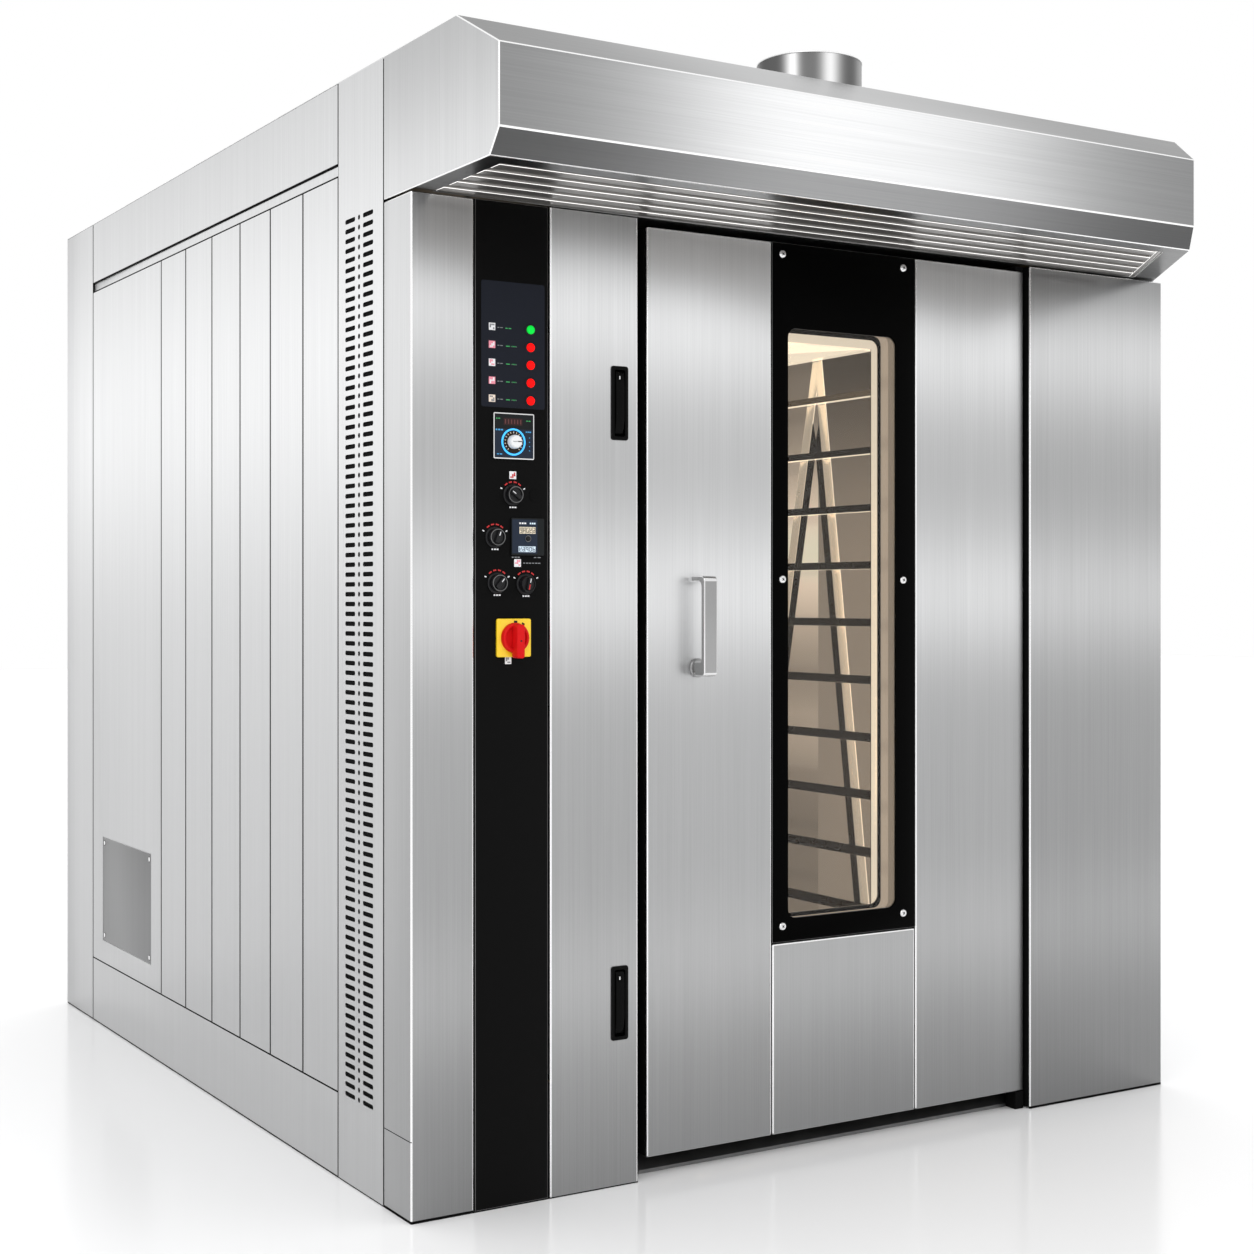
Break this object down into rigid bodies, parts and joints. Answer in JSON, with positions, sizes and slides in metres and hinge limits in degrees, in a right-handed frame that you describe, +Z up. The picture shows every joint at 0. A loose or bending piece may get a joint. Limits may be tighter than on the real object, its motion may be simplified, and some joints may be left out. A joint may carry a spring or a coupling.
{
  "type": "rotating rack oven",
  "caption": "Free-standing bakery oven whose tray rack turns inside an insulated chamber behind a glazed, hinged door under a steam hood.",
  "frame": {"origin": "centre of the bounding box at floor level", "axes": "+X right along the front, +Y from the front to the back, +Z up"},
  "size_m": [2.15, 2.896, 2.495],
  "materials": {
    "brushed_steel": "vertical brushed grain, satin",
    "dark_steel": "satin, darker sheet",
    "galvanised_frame": "galvanised, matt",
    "foot_rubber": "matt black",
    "chamber_steel": "satin, slightly tinted by heat",
    "wool": "compressed mineral wool",
    "brass_fittings": "nickel-plated brass",
    "fascia_black": "semi-gloss black",
    "lamp_lens": "glossy coloured lens",
    "bezel_black": "black instrument front with a silver rim",
    "knob_black": "matt black",
    "knob_white": "glossy white",
    "switch_yellow": "signal yellow",
    "switch_red": "signal red",
    "button_grey": "grey",
    "lamp_glass": "warm frosted glass",
    "window_glass": "clear toughened glass",
    "chrome": "polished",
    "gasket": "silicone rubber",
    "handle_metal": "satin",
    "motor_paint": "satin enamel",
    "heater_tube": "heat-tinted",
    "switchgear_grey": "light grey",
    "rack_steel": "satin",
    "wheel_resin": "heat-resistant resin"
  },
  "bodies": {
    "casing": {"base_frame": "galvanised_frame", "levelling_feet": "foot_rubber", "chamber_floor": "chamber_steel", "corner_column": "brushed_steel", "vent_column": "brushed_steel", "side_panels": "brushed_steel", "side_columns": "brushed_steel", "side_bands": "brushed_steel", "access_plate": "dark_steel", "rear_panels": "brushed_steel", "roof_panels": "brushed_steel", "right_front_panel": "brushed_steel", "mineral_wool": "wool", "supply_fittings": "brass_fittings", "control_fascia": "fascia_black", "indicator_lamps": "lamp_lens", "thermostat_bezel": "bezel_black", "selector_collars": "knob_black", "timer_case": "bezel_black", "switch_plate": "switch_yellow", "hood_shell": "brushed_steel", "hood_slats": "dark_steel", "exhaust_collar": "brushed_steel", "chamber_liner": "chamber_steel", "air_panels": "chamber_steel", "door_frame": "dark_steel", "door_fittings": "dark_steel", "gearmotor": "motor_paint", "fan_motor": "motor_paint", "heater_bank": "heater_tube", "steam_generator": "dark_steel", "chamber_lamps": "lamp_glass", "switchgear": "switchgear_grey"},
    "thermostat_knob": {"thermostat_knob": "knob_white"},
    "selector_knob_1": {"selector_knob_1": "knob_black"},
    "selector_knob_2": {"selector_knob_2": "knob_black"},
    "selector_knob_3": {"selector_knob_3": "knob_black"},
    "selector_knob_4": {"selector_knob_4": "knob_black"},
    "timer_button": {"timer_button": "button_grey"},
    "main_switch": {"main_switch_knob": "switch_red"},
    "service_door": {"service_door": "brushed_steel", "swing_handle_trays": "knob_black"},
    "swing_lever_upper": {"swing_lever_upper": "knob_black"},
    "swing_lever_lower": {"swing_lever_lower": "knob_black"},
    "oven_door": {"door_core": "wool", "door_skins": "brushed_steel", "window_panel": "fascia_black", "window_glass": "window_glass", "window_screws": "chrome", "door_gasket": "gasket"},
    "door_handle": {"door_handle": "handle_metal"},
    "rotor": {"rack_frame": "rack_steel", "rack_braces": "rack_steel", "hook_shaft": "dark_steel", "castor_forks": "dark_steel"},
    "wheel_1": {"castor_wheel_1": "wheel_resin"},
    "wheel_2": {"castor_wheel_2": "wheel_resin"},
    "wheel_3": {"castor_wheel_3": "wheel_resin"},
    "wheel_4": {"castor_wheel_4": "wheel_resin"},
    "fan": {"fan_impeller": "dark_steel"}
  },
  "joints": [
    {"name": "thermostat_turn", "type": "hinge", "parent": "casing", "child": "thermostat_knob", "pos_m": [-0.84228, -1.068, 1.593], "axis": [0, -1, 0], "range_deg": [-135, 135]},
    {"name": "selector_1_turn", "type": "hinge", "parent": "casing", "child": "selector_knob_1", "pos_m": [-0.84228, -1.068, 1.483], "axis": [0, -1, 0], "range_deg": [-60, 60]},
    {"name": "selector_2_turn", "type": "hinge", "parent": "casing", "child": "selector_knob_2", "pos_m": [-0.88428, -1.068, 1.394], "axis": [0, -1, 0], "range_deg": [-60, 60]},
    {"name": "selector_3_turn", "type": "hinge", "parent": "casing", "child": "selector_knob_3", "pos_m": [-0.87928, -1.068, 1.299], "axis": [0, -1, 0], "range_deg": [-60, 60]},
    {"name": "selector_4_turn", "type": "hinge", "parent": "casing", "child": "selector_knob_4", "pos_m": [-0.81128, -1.068, 1.297], "axis": [0, -1, 0], "range_deg": [-60, 60]},
    {"name": "timer_button_press", "type": "slide", "parent": "casing", "child": "timer_button", "axis": [0, 1, 0], "range_m": [0, 0.002], "stiffness_N_per_m": 400, "springref_m": -0.002},
    {"name": "main_switch_turn", "type": "hinge", "parent": "casing", "child": "main_switch", "pos_m": [-0.84228, -1.068, 1.185], "axis": [0, 1, 0], "range_deg": [0, 90]},
    {"name": "service_door_open", "type": "hinge", "parent": "casing", "child": "service_door", "pos_m": [-0.7465, -1.06, 1], "axis": [0, 0, 1], "range_deg": [-100, 0]},
    {"name": "swing_lever_upper_lift", "type": "hinge", "parent": "service_door", "child": "swing_lever_upper", "pos_m": [-0.5815, -1.062, 1.626], "axis": [1, 0, 0], "range_deg": [0, 40]},
    {"name": "swing_lever_lower_lift", "type": "hinge", "parent": "service_door", "child": "swing_lever_lower", "pos_m": [-0.5815, -1.062, 0.333], "axis": [1, 0, 0], "range_deg": [0, 40]},
    {"name": "oven_door_open", "type": "hinge", "parent": "casing", "child": "oven_door", "pos_m": [0.592, -1.04, 1], "axis": [0, 0, 1], "range_deg": [0, 100]},
    {"name": "door_handle_turn", "type": "hinge", "parent": "oven_door", "child": "door_handle", "pos_m": [-0.371, -1.053, 1.113], "axis": [0, 1, 0], "range_deg": [0, 90]},
    {"name": "rack_spin", "type": "hinge", "parent": "casing", "child": "rotor", "pos_m": [0.0515, -0.408, 2], "axis": [0, 0, 1], "continuous": true},
    {"name": "wheel_1_roll", "type": "hinge", "parent": "rotor", "child": "wheel_1", "pos_m": [-0.1985, -0.738, 0.08], "axis": [1, 0, 0], "continuous": true},
    {"name": "wheel_2_roll", "type": "hinge", "parent": "rotor", "child": "wheel_2", "pos_m": [-0.1985, -0.078, 0.08], "axis": [1, 0, 0], "continuous": true},
    {"name": "wheel_3_roll", "type": "hinge", "parent": "rotor", "child": "wheel_3", "pos_m": [0.3015, -0.738, 0.08], "axis": [1, 0, 0], "continuous": true},
    {"name": "wheel_4_roll", "type": "hinge", "parent": "rotor", "child": "wheel_4", "pos_m": [0.3015, -0.078, 0.08], "axis": [1, 0, 0], "continuous": true},
    {"name": "fan_spin", "type": "hinge", "parent": "casing", "child": "fan", "pos_m": [0.0515, 0.562, 1.8], "axis": [0, 0, 1], "continuous": true}
  ]
}
